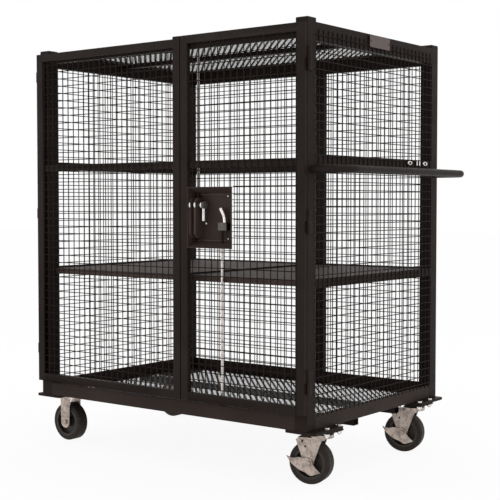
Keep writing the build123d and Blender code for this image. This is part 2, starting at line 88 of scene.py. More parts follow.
# Mesh clamps and clips on the right end's mid rail, in from the posts' back face
CLAMP_PLACES = (233.0 * MM, 114.0 * MM)
CLIP_PLACES = (178.0 * MM, 158.0 * MM)

# Outline of a brake pedal in millimetres from the axle: towards the toe, and up
PEDAL_OUTLINE = (
    (82.0, 22.0), (64.0, -3.0), (50.0, -13.0), (33.0, -25.0), (13.0, -31.0), (-9.0, -43.0), (-30.0, -36.0),
    (-44.0, -31.0), (-27.0, -15.0), (-18.0, -2.0), (-13.0, 13.0), (1.0, 19.0), (20.0, 19.5), (38.0, 20.0),
    (54.0, 15.5), (70.0, 17.5),
)

# The nodes by their kind of edge; decks and brakes are replaced, so they have none here
SQUARE_NODES = (
    "posts", "back_post", "post_caps", "base_rails", "floor_stringers", "top_rails", "upper_rails",
    "lower_rails", "roof_rib", "shelf_beams", "shelf_left", "shelf_right", "left_door_frame",
    "left_door_mid_rail", "right_door_frame", "right_door_mid_rail", "lock_pan", "bolt_guides",
    "rod_collar", "rod_guides", "rod_keeper", "caster_pads", "caster_plates", "rigid_forks",
    "front_right_fork", "rear_right_fork",
)
WIRE_NODES = ("back_mesh", "left_mesh", "right_mesh", "left_door_mesh", "right_door_mesh")
ROUND_NODES = (
    "push_handle", "post_hinges", "left_door_hinges", "right_door_hinges", "hinge_pins", "slide_bolt",
    "drop_rod", "top_rod", "kingpins", "rigid_axles", "front_right_axle", "rear_right_axle",
    "front_left_tyre", "rear_left_tyre", "front_right_tyre", "rear_right_tyre",
    "front_left_core", "rear_left_core", "front_right_core", "rear_right_core",
)

# Nodes whose finish is a variant of their slot's; the hinge, pan, guide and base rail variants are lightened
# copies of the frame coat as painted light, and the top rod's is a darkened copy as painted shade
VARIANTS = {name: "mesh_wire" for name in WIRE_NODES}
VARIANTS.update(base_rails="base_coat_painted_light", lock_pan="pan_coat_painted_light", bolt_guides="guide_coat_painted_light", drop_rod="drop_zinc",
                top_rod="top_zinc_painted_shade", slide_bolt="bolt_steel", push_handle="bar_coat", post_hinges="hinge_coat_painted_light",
                left_door_hinges="hinge_coat_painted_light", right_door_hinges="hinge_coat_painted_light")


def colour(title, text, default):
    """One finish colour, scene linear."""
    return FloatVectorProperty(name=title, description=text, subtype="COLOR", size=3, min=0.0, max=1.0,
                               default=default)


def length(title, text, millimetres):
    """One length, given in millimetres and kept in metres."""
    return FloatProperty(name=title, description=text, subtype="DISTANCE", unit="LENGTH", min=0.0,
                         default=millimetres * MM, precision=4)


def angle(title, text, degrees):
    """One angle, given in degrees and kept in radians."""
    return FloatProperty(name=title, description=text, subtype="ANGLE", unit="ROTATION",
                         default=math.radians(degrees))


def power(title, text, watts):
    """One lamp's power."""
    return FloatProperty(name=title, description=text, subtype="POWER", unit="POWER", default=watts)


class CartColours(bpy.types.PropertyGroup):
    """Finish colours of the cart."""

    frame_coat: colour("Frame coat", "Brown-black powder coat of posts and rails", (0.0175, 0.0124, 0.0107))
    mesh_coat: colour("Mesh coat", "Coat of the wire mesh", (0.0185, 0.0134, 0.0116))
    # The scuff tone is also the paler edge tone, which is part wear and part painted highlight.
    scuff: colour("Scuffs", "Paler tone where the coat is rubbed", (0.060, 0.044, 0.037))
    shelf_coat: colour("Shelf coat", "Worn brown-grey coat of the shelf sheets", (0.050, 0.033, 0.027))
    cap_plastic: colour("Caps", "Dark satin of the post caps", (0.014, 0.012, 0.012))
    zinc: colour("Zinc", "Plated steel of forks and plates", (0.48, 0.40, 0.35))
    rod: colour("Rods", "Paler plated steel of the lock's rods", (0.92, 0.85, 0.80))
    bright: colour("Bright steel", "Polished bolt, pins and fasteners", (0.78, 0.77, 0.75))
    cast: colour("Cast alloy", "Clamp block on the drop rod, brake shoes", (0.11, 0.103, 0.098))
    rubber: colour("Tyre rubber", "Brown-black tread rubber", (0.026, 0.0195, 0.0160))
    dust: colour("Floor dust", "Grey dust in the tread and on the cores", (0.11, 0.10, 0.095))
    core: colour("Wheel core", "Dark moulded wheel body", (0.028, 0.0205, 0.0170))
    grip: colour("Knob", "Grey coat of the bolt's knob", (0.085, 0.076, 0.070))
    plate: colour("Bare plate", "Brown-grey enamel of the plate on the end's top rail", (0.095, 0.066, 0.061))


class CartSizes(bpy.types.PropertyGroup):
    """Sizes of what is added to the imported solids."""

    edge_round: length("Edge rounding", "Radius on tube and sheet edges", 1.6)
    wire_round: length("Wire rounding", "Rounding that turns square wire into round wire", 1.25)
    post: length("Post", "Side of a corner post", 50.0)
    diamond_along: length("Diamond along", "One deck opening along the cart", 28.0)
    diamond_across: length("Diamond across", "One deck opening across the cart", 31.0)
    floor_strand: length("Floor strand", "Width of the floor deck's strands", 10.0)
    roof_strand: length("Roof strand", "Width of the roof deck's strands", 10.0)
    strand_tilt: length("Strand tilt", "Height that each strand leans up and down", 1.4)
    sheet_gauge: length("Sheet gauge", "Thickness of the deck's metal", 0.8)
    caster_in_x: length("Caster from end", "Caster middle in from the posts' end face", 26.0)
    caster_in_y: length("Caster from front", "Caster middle in from the posts' front or back face", 130.0)
    bolt_span_x: length("Bolt span along", "Between caster bolts along the cart", 92.0)
    bolt_span_y: length("Bolt span across", "Between caster bolts across the cart", 80.0)
    bolt_hex: length("Bolt hex", "Across the corners of a caster bolt head, halved", 9.5)
    bolt_head: length("Bolt head", "Height of a caster bolt head", 5.0)
    washer: length("Washer", "Thickness of a caster bolt's lower washer", 1.5)
    head_washer: length("Head washer", "Thickness of the washer under a caster bolt's head", 0.7)
    nut: length("Nut", "Height of a caster bolt's nut", 8.0)
    head_chamfer: length("Head chamfer", "Chamfer on a caster bolt's head", 0.9)
    nut_chamfer: length("Nut chamfer", "Chamfer on a caster bolt's nut", 0.8)
    thread: length("Thread", "Radius of a caster bolt's thread", 4.6)
    thread_out: length("Thread end", "Thread that shows below a caster bolt's nut", 5.0)
    plate_gauge: length("Top plate", "Thickness of a caster's top plate", 6.0)
    trail: length("Caster trail", "Axle behind a swivel caster's kingpin", 38.0)
    pedal_out: length("Pedal place", "Inner face of a brake pedal from its wheel's middle", 32.3)
    pedal_gauge: length("Pedal gauge", "Thickness of a brake pedal's plate", 4.0)
    pedal_bore: length("Pedal bore", "Radius of a brake pedal's hole on the axle", 6.2)
    pedal_corner: length("Pedal corner", "Rounding of a brake pedal's outline", 3.0)
    pedal_edge: length("Pedal edge", "Radius on a brake pedal's edges", 0.7)
    pedal_fold: length("Pedal fold", "Fold of a brake pedal's heel, from the axle", 19.0)
    heel_turn: angle("Heel turn", "Lean of a brake pedal's heel towards the wheel", 12.0)
    shoe_turn: angle("Shoe turn", "Brake shoe's place round the wheel, back from its top", 20.0)
    shoe_up: length("Shoe height", "Middle of a brake shoe from its axle", 79.5)
    shoe_long: length("Shoe length", "Brake shoe along its wheel", 30.0)
    shoe_wide: length("Shoe width", "Brake shoe between the fork's legs", 48.0)
    shoe_thick: length("Shoe thickness", "Brake shoe between the tread and the fork's bridge", 5.0)
    shoe_edge: length("Shoe edge", "Radius on a brake shoe's edges", 0.6)
    screw: length("Pan screw", "Radius of a lock pan screw head", 3.6)
    screw_in_x: length("Pan screw from side", "Pan screw in from the pan's hinge side", 60.0)
    screw_in_z: length("Pan screw from edge", "Pan screw in from the pan's upper or lower edge", 33.0)
    stud_in_x: length("Pan stud from side", "Larger pan screw in from the pan's lock side", 46.0)
    stud_in_z: length("Pan stud from edge", "Larger pan screw up from the pan's lower edge", 88.0)
    label_long: length("Bare plate length", "Plate on the right end's top rail, along the rail", 140.0)
    label_tall: length("Bare plate height", "Plate on the right end's top rail, up the rail", 44.0)
    label_drop: length("Bare plate drop", "Plate's middle below the rail's top", 25.0)
    label_gauge: length("Bare plate gauge", "Thickness of the plate on the right end's top rail", 1.5)
    label_corner: length("Bare plate corner", "Radius of the plate's corners", 4.0)
    label_edge: length("Bare plate edge", "Radius along the plate's rim", 0.5)
    rivet_in: length("Plate rivet", "Rivet in from the plate's end", 7.0)
    label_side: length("Bare plate side", "Plate's middle towards the back from the cart's middle", 4.0)
    boss: length("Guide boss", "Half the width of a bright boss on a bolt guide", 4.4)
    boss_in: length("Guide boss place", "Middle of a boss in from its guide's outer face", 4.5)
    fold: length("Pan fold", "Bend radius along the pan's folds", 1.6)
    fold_in: length("Pan fold place", "Pan's folds in from its upper and lower edges", 25.5)
    fold_short: length("Pan fold end", "Pan's width that its folds leave free", 58.0)
    clamp: length("Clamp washer", "Half the height of a mesh clamp washer", 7.5)
    clamp_gauge: length("Clamp gauge", "Thickness of a mesh clamp washer", 2.0)
    clamp_rise: length("Clamp rise", "Mesh clamps above the mid rail's middle", 3.0)
    clip_gauge: length("Clip gauge", "Thickness of a mesh clip", 1.6)
    clip_wide: length("Clip width", "Width of a mesh clip", 8.0)
    seam: length("Seam lip", "Height of the folded lip along the shelf's seam", 7.0)
    seam_gauge: length("Seam gauge", "Thickness of the folded lip along the shelf's seam", 3.0)
    seam_edge: length("Seam edge", "Radius along the folded lip's upper edges", 1.2)
    knob: length("Knob ring", "Radius of the bright ring on the bolt's knob", 13.6)
    knob_wide: length("Knob ring width", "Width of the bright ring on the bolt's knob", 5.0)


class CartStage(bpy.types.PropertyGroup):
    """Camera, floor and light."""

    camera_at: FloatVectorProperty(name="Camera", description="Where the camera stands",
                                   subtype="TRANSLATION", unit="LENGTH", size=3,
                                   default=(2.7263, -3.5667, 0.9779))
    camera_heading: FloatProperty(name="Heading", description="Camera turn from straight ahead, to the left",
                                  subtype="ANGLE", unit="ROTATION", default=0.64993)
    camera_pitch: FloatProperty(name="Pitch", description="Camera tilt up from level", subtype="ANGLE",
                                unit="ROTATION", default=-0.04157)
    lens: FloatProperty(name="Lens", description="Focal length in millimetres on a 36 mm frame",
                        default=81.12)
    floor_colour: colour("Floor", "Pale floor", (0.92, 0.92, 0.92))
    floor_shadow: FloatProperty(name="Floor shadow",
                                description="Share of the cast shadow that shows on the floor",
                                subtype="FACTOR", min=0.0, max=1.0, default=0.08)
    sky: FloatProperty(name="Room light", description="Strength of the even light from the room", min=0.0,
                       default=0.95)
    key_power: power("Key light", "Large soft light at the front left", 28.0)
    fill_power: power("Fill light", "Soft light at the right end", 3.0)
    top_power: power("Top light", "Soft light over the cart", 30.0)


def colours():
    return bpy.context.scene.cart_colours


def sizes():
    return bpy.context.scene.cart_sizes


class Finish:
    """A new node material with its shader, output and Object coordinates in place."""

    def __init__(self, name):
        self.material = bpy.data.materials.new(name)
        self.material.use_nodes = True
        self.tree = self.material.node_tree
        self.tree.nodes.clear()
        self.out = self.tree.nodes.new("ShaderNodeOutputMaterial")
        self.skin = self.tree.nodes.new("ShaderNodeBsdfPrincipled")
        self.tree.links.new(self.skin.outputs["BSDF"], self.out.inputs["Surface"])
        self.place = self.tree.nodes.new("ShaderNodeTexCoord").outputs["Object"]

    def add(self, kind, **values):
        """A node of that kind with the given inputs, by name, set or linked."""
        node = self.tree.nodes.new(kind)
        for key, value in values.items():
            self.put(node.inputs[key], value)
        return node

    def put(self, socket, value):
        if isinstance(value, bpy.types.NodeSocket):
            self.tree.links.new(value, socket)
        else:
            socket.default_value = value

    def set(self, **values):
        """Inputs of the shader, with _ for a space in their names."""
        for key, value in values.items():
            self.put(self.skin.inputs[key.replace("_", " ")], value)

    def noise(self, scale, detail=3.0, roughness=0.55, stretch=None):
        """A 0 to 1 noise of so many waves per metre, stretched by a mapping where asked."""
        place = self.place
        if stretch is not None:
            place = self.add("ShaderNodeMapping", Vector=place, Scale=stretch).outputs["Vector"]
        node = self.add("ShaderNodeTexNoise", Vector=place, Scale=scale, Detail=detail, Roughness=roughness)
        return node.outputs["Fac"]

    def spread(self, value, low, high, to_low, to_high):
        """value from low..high carried to to_low..to_high, held at the ends."""
        node = self.tree.nodes.new("ShaderNodeMapRange")
        for key, number in (("From Min", low), ("From Max", high), ("To Min", to_low), ("To Max", to_high)):
            node.inputs[key].default_value = number
        self.put(node.inputs["Value"], value)
        return node.outputs["Result"]

    def mix(self, share, first, second):
        """Colour between first and second; a Mix node's colour sockets share their names with others."""
        node = self.tree.nodes.new("ShaderNodeMix")
        node.data_type = "RGBA"
        self.put(node.inputs["Factor"], share)
        for socket, value in ((node.inputs[6], first), (node.inputs[7], second)):
            self.put(socket, value if isinstance(value, bpy.types.NodeSocket) else (*value, 1.0))
        return node.outputs[2]

    def bump(self, height, strength, distance):
        node = self.add("ShaderNodeBump", Height=height, Strength=strength, Distance=distance)
        self.put(self.skin.inputs["Normal"], node.outputs["Normal"])

    def edges(self, radius):
        """1 on a rounded edge of that radius and 0 on flat faces, from how far a bevelled normal leans."""
        soft = self.tree.nodes.new("ShaderNodeBevel")
        soft.samples = 4
        soft.inputs["Radius"].default_value = radius
        flat = self.tree.nodes.new("ShaderNodeNewGeometry")
        dot = self.tree.nodes.new("ShaderNodeVectorMath")
        dot.operation = "DOT_PRODUCT"
        self.put(dot.inputs[0], soft.outputs["Normal"])
        self.put(dot.inputs[1], flat.outputs["Normal"])
        return self.spread(dot.outputs["Value"], 0.97, 0.80, 0.0, 1.0)


def shade(tone, by):
    """The tone made lighter or darker."""
    return tuple(min(1.0, part * by) for part in tone)


def powder_coat(name, tone, worn, edge_wear_and_highlight=0.0, gloss=0.05):
    """Satin powder coat: orange peel, uneven tone, rubbed spots, and paler edges that are part wear and part
    painted highlight.
    """
    finish = Finish(name)
    cloud = finish.noise(4.0, 5.0, 0.6)
    body = finish.mix(finish.spread(cloud, 0.3, 0.7, 0.0, 1.0), shade(tone, 0.80), shade(tone, 1.25))
    rubs = finish.spread(finish.noise(26.0, 8.0, 0.74), 0.62, 0.76, 0.0, 0.22)
    body = finish.mix(rubs, body, worn)
    # Paler rounded edges: part rubbed wear, part painted highlight where the edges would catch light.
    if edge_wear_and_highlight:
        torn = finish.noise(70.0, 4.0, 0.6)
        share = finish.add("ShaderNodeMath")
        share.operation = "MULTIPLY"
        finish.put(share.inputs[0], finish.edges(1.4 * MM))
        finish.put(share.inputs[1], finish.spread(torn, 0.40, 0.66, 0.05, edge_wear_and_highlight))
        body = finish.mix(share.outputs["Value"], body, worn)
    finish.set(Base_Color=body, Roughness=finish.spread(finish.noise(48.0), 0.3, 0.7, 0.36, 0.52),
               Specular_IOR_Level=gloss)
    finish.bump(finish.noise(950.0, 2.0), 0.10, 0.35 * MM)
    return finish.material


def plated(name, tone, smooth, dull, grain, dipped=None, stains_and_reflection=0.35):
    """Plated steel: small spangles in tone, cloudy dark patches that are part staining and part painted dark
    reflection, and gloss; dipped gives the two heights between which it is coated, and the coat's tone."""
    finish = Finish(name)
    cells = finish.add("ShaderNodeTexVoronoi", Vector=finish.place, Scale=grain).outputs["Color"]
    spangle = finish.add("ShaderNodeSeparateColor", Color=cells).outputs["Red"]
    cloud = finish.noise(46.0, 6.0, 0.70)
    body = finish.mix(finish.spread(spangle, 0.0, 1.0, 0.0, 1.0), shade(tone, 0.88), shade(tone, 1.10))
    # Dark cloudy patches: part real staining, part painted dark reflection of the surroundings.
    stain_and_reflection = finish.spread(cloud, 0.42, 0.66, 0.0, stains_and_reflection)
    body = finish.mix(stain_and_reflection, body, shade(tone, 0.36))
    metal = 1.0
    if dipped:
        low, high, paint = dipped
        height = finish.add("ShaderNodeSeparateXYZ", Vector=finish.place).outputs["Z"]
        above = finish.spread(height, low - 0.5 * MM, low + 0.5 * MM, 1.0, 0.0)
        below = finish.spread(height, high - 0.5 * MM, high + 0.5 * MM, 0.0, 1.0)
        bare = finish.add("ShaderNodeMath")
        bare.operation = "MAXIMUM"
        finish.put(bare.inputs[0], above)
        finish.put(bare.inputs[1], below)
        metal = bare.outputs["Value"]
        body = finish.mix(metal, paint, body)
        finish.set(Specular_IOR_Level=0.06)
    finish.set(Base_Color=body, Metallic=metal, Roughness=finish.spread(cloud, 0.25, 0.75, smooth, dull))
    finish.bump(finish.noise(700.0, 3.0), 0.05, 0.2 * MM)
    return finish.material


def tread_rubber(name, tone, dust):
    """Tread rubber: dull, finely pitted, dusty in patches."""
    finish = Finish(name)
    patch = finish.spread(finish.noise(34.0, 6.0, 0.7), 0.54, 0.80, 0.0, 0.22)
    body = finish.mix(patch, tone, dust)
    finish.set(Base_Color=body, Roughness=finish.spread(finish.noise(90.0), 0.3, 0.7, 0.52, 0.78),
               Specular_IOR_Level=0.16)
    finish.bump(finish.noise(620.0, 4.0, 0.6), 0.22, 0.5 * MM)
    return finish.material


def moulded(name, tone, dust):
    """Moulded or painted body: satin, fine grain, a little dust."""
    finish = Finish(name)
    patch = finish.spread(finish.noise(52.0, 6.0, 0.7), 0.56, 0.80, 0.0, 0.28)
    finish.set(Base_Color=finish.mix(patch, tone, dust),
               Roughness=finish.spread(finish.noise(70.0), 0.3, 0.7, 0.34, 0.50), Specular_IOR_Level=0.30)
    finish.bump(finish.noise(1200.0, 2.0), 0.08, 0.3 * MM)
    return finish.material


def shelf_sheet(name, tone, worn):
    """Coated shelf sheet: rubbed along the cart by what slides on it."""
    finish = Finish(name)
    cloud = finish.noise(5.0, 5.0, 0.6)
    body = finish.mix(finish.spread(cloud, 0.3, 0.7, 0.0, 1.0), shade(tone, 0.82), shade(tone, 1.18))
    drag = finish.noise(30.0, 6.0, 0.65, stretch=(0.6, 9.0, 9.0))
    body = finish.mix(finish.spread(drag, 0.56, 0.74, 0.0, 0.35), body, worn)
    finish.set(Base_Color=body, Roughness=finish.spread(drag, 0.3, 0.7, 0.66, 0.50), Specular_IOR_Level=0.17)
    finish.bump(finish.noise(900.0, 2.0), 0.10, 0.35 * MM)
    return finish.material


def finishes():
    """The cart's materials by record slot, made once and found again by name."""
    tones = colours()
    coat = tuple(tones.frame_coat)
    rod_coat = shade(coat, 1.2)
    scuff = tuple(tones.scuff)
    dust = tuple(tones.dust)
    makers = {
        "frame_coat": lambda name: powder_coat(name, coat, scuff, edge_wear_and_highlight=0.55),
        "door_coat": lambda name: powder_coat(name, shade(coat, 1.04), scuff, edge_wear_and_highlight=0.55),
        "shelf_coat": lambda name: shelf_sheet(name, tuple(tones.shelf_coat), shade(tones.shelf_coat, 1.7)),
        "cap_plastic": lambda name: moulded(name, tuple(tones.cap_plastic), dust),
        # Zinc: deep dark patches, mostly painted dark reflection of the cart and wheels, part real staining.
        "zinc": lambda name: plated(name, tuple(tones.zinc), smooth=0.28, dull=0.44, grain=240.0,
                                    stains_and_reflection=0.85),
        "drop_zinc": lambda name: plated(name, tuple(tones.rod), smooth=0.20, dull=0.36, grain=240.0,
                                         dipped=(PAN_LOW.z + 10.0 * MM, COLLAR_LOW.z, rod_coat)),
        # Top rod: the rods' plated metal at half tone, painted shade on the top rod.
        "top_zinc_painted_shade": lambda name: plated(name, shade(tones.rod, 0.50), smooth=0.28, dull=0.44, grain=240.0,
                                        dipped=(0.0, PAN_HIGH.z - 16.0 * MM, rod_coat)),
        "bolt_steel": lambda name: plated(name, tuple(tones.bright), smooth=0.10, dull=0.24, grain=600.0,
                                          dipped=(BOLT_HIGH.z - 2 * KNOB_RADIUS, BOLT_HIGH.z + MM,
                                                  tuple(tones.grip))),
        "bright_steel": lambda name: plated(name, tuple(tones.bright), smooth=0.10, dull=0.24, grain=600.0),
        "cast_alloy": lambda name: plated(name, tuple(tones.cast), smooth=0.42, dull=0.58, grain=420.0),
        "tyre_rubber": lambda name: tread_rubber(name, tuple(tones.rubber), dust),
        "wheel_core": lambda name: moulded(name, tuple(tones.core), dust),
        "mesh_wire": lambda name: powder_coat(name, tuple(tones.mesh_coat), scuff, gloss=0.03),
        # Base rails: the frame coat 1.75 times lighter, painted light where the low front light falls on
        # them.
        "base_coat_painted_light": lambda name: powder_coat(name, shade(coat, 1.75), scuff, edge_wear_and_highlight=0.45),
        # Hinges: the frame coat 1.35 times lighter, painted light that evens out the shade on the hinge
        # barrels.
        "hinge_coat_painted_light": lambda name: powder_coat(name, shade(coat, 1.35), scuff),
        "bar_coat": lambda name: powder_coat(name, shade(coat, 0.9), scuff, gloss=0.09),
        # Lock pan: the frame coat 2.9 times lighter, painted light that fills the shade inside the recessed
        # pan.
        "pan_coat_painted_light": lambda name: powder_coat(name, shade(coat, 2.9), scuff, edge_wear_and_highlight=0.4),
        # Bolt guides: the frame coat 3.4 times lighter, painted light on the guides' lit noses.
        "guide_coat_painted_light": lambda name: powder_coat(name, shade(coat, 3.4), scuff, edge_wear_and_highlight=0.5),
        # Pan folds: the frame coat seven times lighter, a painted highlight along the bends.
        "fold_coat_painted_highlight": lambda name: powder_coat(name, shade(coat, 7.0), scuff),
        "bare_plate": lambda name: moulded(name, tuple(tones.plate), shade(dust, 0.6)),
    }
    made = {}
    for slot, maker in makers.items():
        name = "cart_" + slot
        made[slot] = bpy.data.materials.get(name) or maker(name)
    return made


def smooth_faces(node):
    """The node's faces shaded smooth, with the imported corner normals dropped."""
    mesh = node.data
    if mesh.has_custom_normals:
        with bpy.context.temp_override(object=node, active_object=node, selected_objects=[node]):
            bpy.ops.mesh.customdata_custom_splitnormals_clear()
    mesh.polygons.foreach_set("use_smooth", [True] * len(mesh.polygons))


def weld(node):
    """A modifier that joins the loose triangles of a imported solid."""
    join = node.modifiers.new("join", "WELD")
    join.merge_threshold = 0.004 * MM


def flatten(node):
    """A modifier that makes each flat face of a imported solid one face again."""
    faces = node.modifiers.new("faces", "DECIMATE")
    faces.decimate_type = "DISSOLVE"
    faces.angle_limit = math.radians(1.0)


def round_edges(node, radius):
    """Joined faces with every sharp edge rounded, flat faces kept flat."""
    weld(node)
    flatten(node)
    edge = node.modifiers.new("round", "BEVEL")
    edge.width = radius
    edge.segments = 2
    edge.limit_method = "ANGLE"
    edge.angle_limit = math.radians(40.0)
    edge.use_clamp_overlap = True
    flat = node.modifiers.new("flat", "WEIGHTED_NORMAL")
    flat.weight = 100
    smooth_faces(node)


def round_skin(node):
    """Joined faces shaded smooth, with a crease kept at every sharp edge."""
    weld(node)
    crease = node.modifiers.new("crease", "EDGE_SPLIT")
    crease.split_angle = math.radians(32.0)
    crease.use_edge_sharp = False
    smooth_faces(node)


def whole(bm):
    """Every vertex, edge and face of a bmesh."""
    return bm.verts[:] + bm.edges[:] + bm.faces[:]


def piece_from(bm, name, body, slot, material=None):
    """A finished piece from a bmesh that is already in its place."""
    bmesh.ops.remove_doubles(bm, verts=bm.verts[:], dist=SAME_POINT)
    mesh = bpy.data.meshes.new(name)
    bm.to_mesh(mesh)
    bm.free()
    piece = bpy.data.objects.new(name, mesh)
    bpy.context.scene.collection.objects.link(piece)
    mesh.materials.append(finishes()[material or slot])
    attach(piece, body)
    return piece


def turned(bm, outline, at, axis, steps):
    """A solid of revolution added to bm: outline is (radius, height) pairs from the axis out and back to it,
    heights run along axis from the point at."""
    aim = Vector((0.0, 0.0, 1.0)).rotation_difference(Vector(axis)).to_matrix().to_4x4()
    put = Matrix.Translation(Vector(at)) @ aim
    start = [bm.verts.new((radius, 0.0, height)) for radius, height in outline]
    line = [bm.edges.new(pair) for pair in zip(start, start[1:])]
    before = set(bm.verts) - set(start)
    bmesh.ops.spin(bm, geom=start + line, cent=(0.0, 0.0, 0.0), axis=(0.0, 0.0, 1.0), dvec=(0.0, 0.0, 0.0),
                   angle=2.0 * math.pi, steps=steps, use_merge=True, use_duplicate=False)
    new = [vert for vert in bm.verts if vert not in before]
    bmesh.ops.remove_doubles(bm, verts=new, dist=SAME_POINT)
    new = [vert for vert in bm.verts if vert not in before]
    faces = {face for vert in new for face in vert.link_faces}
    bmesh.ops.recalc_face_normals(bm, faces=list(faces))
    bmesh.ops.transform(bm, matrix=put, verts=new)


def hexagon(bm, at, radius, height, chamfer):
    """A six-sided head or nut added to bm, standing up from at, with its top corners chamfered."""
    made = bmesh.ops.create_cone(bm, cap_ends=True, segments=6, radius1=radius, radius2=radius, depth=height,
                                 matrix=Matrix.Translation(Vector(at) + Vector((0.0, 0.0, height / 2))))
    verts = made["verts"]
    crown = max(vert.co.z for vert in verts)
    edges = {edge for vert in verts for edge in vert.link_edges
             if all(abs(end.co.z - crown) < SAME_POINT for end in edge.verts)}
    bmesh.ops.bevel(bm, geom=list(edges), offset=chamfer, affect="EDGES", segments=2, profile=0.5,
                    material=-1)


class CART_OT_coats(bpy.types.Operator):
    """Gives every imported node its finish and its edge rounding"""

    bl_idname = "cart.coats"
    bl_label = "Coats and Metal"

    def execute(self, context):
        made = finishes()
        for sub in frame["record"]["subparts"]:
            node = frame["nodes"][sub["node"]]
            node.data.materials.clear()
            node.data.materials.append(made[VARIANTS.get(sub["node"], sub["material_slot"])])
        for name in SQUARE_NODES:
            round_edges(frame["nodes"][name], sizes().edge_round)
        for name in WIRE_NODES:
            round_edges(frame["nodes"][name], sizes().wire_round)
        for name in ROUND_NODES:
            round_skin(frame["nodes"][name])
        return {"FINISHED"}


class CART_OT_decks(bpy.types.Operator):
    """Expanded metal sheets in place of the coarse floor and roof decks"""

    bl_idname = "cart.decks"
    bl_label = "Expanded Metal Decks"

    def execute(self, context):
        size = sizes()
        self.sheet("floor_deck", size.floor_strand, size.strand_tilt)
        self.sheet("roof_deck", size.roof_strand, -size.strand_tilt)
        return {"FINISHED"}

    def sheet(self, node, strand, tilt):
        """One sheet in place of a deck node; the sign of tilt says which side of the sheet is up."""
        size = sizes()
        low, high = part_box(node)
        bm = bmesh.new()
        bmesh.ops.create_circle(bm, cap_ends=True, segments=4, radius=1.0)
        bmesh.ops.scale(bm, vec=(size.diamond_along / 2, size.diamond_across / 2, 1.0), verts=bm.verts[:])
        rim = set(bm.verts)
        hole = bm.faces[:]
        bmesh.ops.inset_individual(bm, faces=hole, thickness=strand / 2, use_even_offset=True)
        for vert in bm.verts:
            if vert not in rim and abs(vert.co.y) > abs(vert.co.x):
                vert.co.z = tilt * math.copysign(1.0, vert.co.y)
        bmesh.ops.delete(bm, geom=hole, context="FACES_ONLY")
        bmesh.ops.translate(bm, vec=(low.x, low.y, 0.0), verts=bm.verts[:])
        cell = whole(bm)
        for column in range(1, int((high.x - low.x) / size.diamond_along) + 2):
            self.again(bm, cell, (size.diamond_along * column, 0.0, 0.0))
        line = whole(bm)
        for row in range(1, 2 * int((high.y - low.y) / size.diamond_across) + 4):
            shift = size.diamond_along * 0.5 * (row % 2)
            self.again(bm, line, (shift, size.diamond_across * 0.5 * row, 0.0))
        bmesh.ops.remove_doubles(bm, verts=bm.verts[:], dist=SAME_STRAND)
        for spot, way in ((low, (-1, 0, 0)), (low, (0, -1, 0)), (high, (1, 0, 0)), (high, (0, 1, 0))):
            bmesh.ops.bisect_plane(bm, geom=whole(bm), plane_co=spot, plane_no=way, clear_outer=True)
        gone = [face for face in bm.faces if self.at_post(face.calc_center_median(), low, high)]
        bmesh.ops.delete(bm, geom=gone, context="FACES")
        bmesh.ops.solidify(bm, geom=bm.faces[:], thickness=size.sheet_gauge)
        bmesh.ops.translate(bm, vec=(0.0, 0.0, (low.z + high.z) / 2), verts=bm.verts[:])
        sheet = piece_from(bm, "expanded_" + node, "frame", "frame_coat")
        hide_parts(node)

    def at_post(self, spot, low, high):
        """Whether a spot of a deck lies in a corner, where a post stands."""
        notch = POSTS_LOW.x + sizes().post - low.x
        from_end = min(spot.x - low.x, high.x - spot.x)
        from_side = min(spot.y - low.y, high.y - spot.y)
        return from_end < notch and from_side < notch

    def again(self, bm, geom, step):
        """The same strands once more, a step away."""
        copy = bmesh.ops.duplicate(bm, geom=geom)
        verts = [item for item in copy["geom"] if isinstance(item, bmesh.types.BMVert)]
        bmesh.ops.translate(bm, vec=step, verts=verts)


class CART_OT_caster_bolts(bpy.types.Operator):
    """Hexagon bolts through the caster pads and plates, with washers and nuts"""

    bl_idname = "cart.caster_bolts"
    bl_label = "Caster Bolts"

    def execute(self, context):
        size = sizes()
        bm = bmesh.new()
        for x in (POSTS_LOW.x + size.caster_in_x, POSTS_HIGH.x - size.caster_in_x):
            for y in (POSTS_LOW.y + size.caster_in_y, POSTS_HIGH.y - size.caster_in_y):
                for side in (-0.5, 0.5):
                    for end in (-0.5, 0.5):
                        self.bolt(bm, x + side * size.bolt_span_x, y + end * size.bolt_span_y)
        piece_from(bm, "caster_bolts", "frame", "bright_steel")
        return {"FINISHED"}

    def bolt(self, bm, x, y):
        size = sizes()
        hexa = size.bolt_hex
        flat = [(0.0, 0.0), (hexa * 1.05, 0.0), (hexa * 1.05, size.head_washer), (0.0, size.head_washer)]
        turned(bm, flat, (x, y, PADS_HIGH.z), (0, 0, 1), 20)
        hexagon(bm, (x, y, PADS_HIGH.z + size.head_washer), hexa, size.bolt_head, size.head_chamfer)
        seat = PADS_LOW.z - size.plate_gauge
        disc = [(0.0, 0.0), (hexa * 1.12, 0.0), (hexa * 1.12, size.washer), (0.0, size.washer)]
        turned(bm, disc, (x, y, seat), (0, 0, -1), 20)
        below = seat - size.washer - size.nut
        hexagon(bm, (x, y, below), hexa, size.nut, size.nut_chamfer)
        r = size.thread
        out = size.thread_out
        end = [(0.0, 0.0), (r, 0.0), (r, out - 1.0 * MM), (r - 0.8 * MM, out), (0.0, out)]
        turned(bm, end, (x, y, below), (0, 0, -1), 16)


